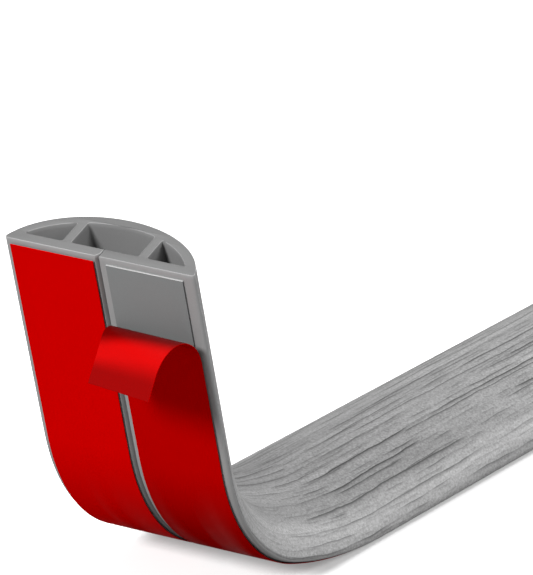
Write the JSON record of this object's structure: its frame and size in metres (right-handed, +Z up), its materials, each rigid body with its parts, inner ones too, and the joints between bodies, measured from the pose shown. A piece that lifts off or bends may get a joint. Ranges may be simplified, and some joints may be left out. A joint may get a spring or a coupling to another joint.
{
  "type": "floor cord cover",
  "caption": "Flexible arched strip that covers cords on a floor: side-by-side channels over a flat, taped base, one end curled up and its liner peeled back.",
  "frame": {"origin": "centre of the bounding box in plan, on the floor under the strip", "axes": "+X along the strip from the curled-up end to the straight end, +Y across it, +Z up out of the floor"},
  "size_m": [1.178, 0.06, 0.1146],
  "materials": {
    "cover_vinyl": "satin flexible vinyl with a grey wood-grain film on the arched top",
    "foam_tape": "matt grey double-sided foam tape",
    "liner_film": "glossy red release film"
  },
  "bodies": {
    "root": {"cover_body": "cover_vinyl", "adhesive_tape_left": "foam_tape", "adhesive_tape_right": "foam_tape", "release_liner_left": "liner_film", "release_liner_right": "liner_film"}
  },
  "joints": []
}
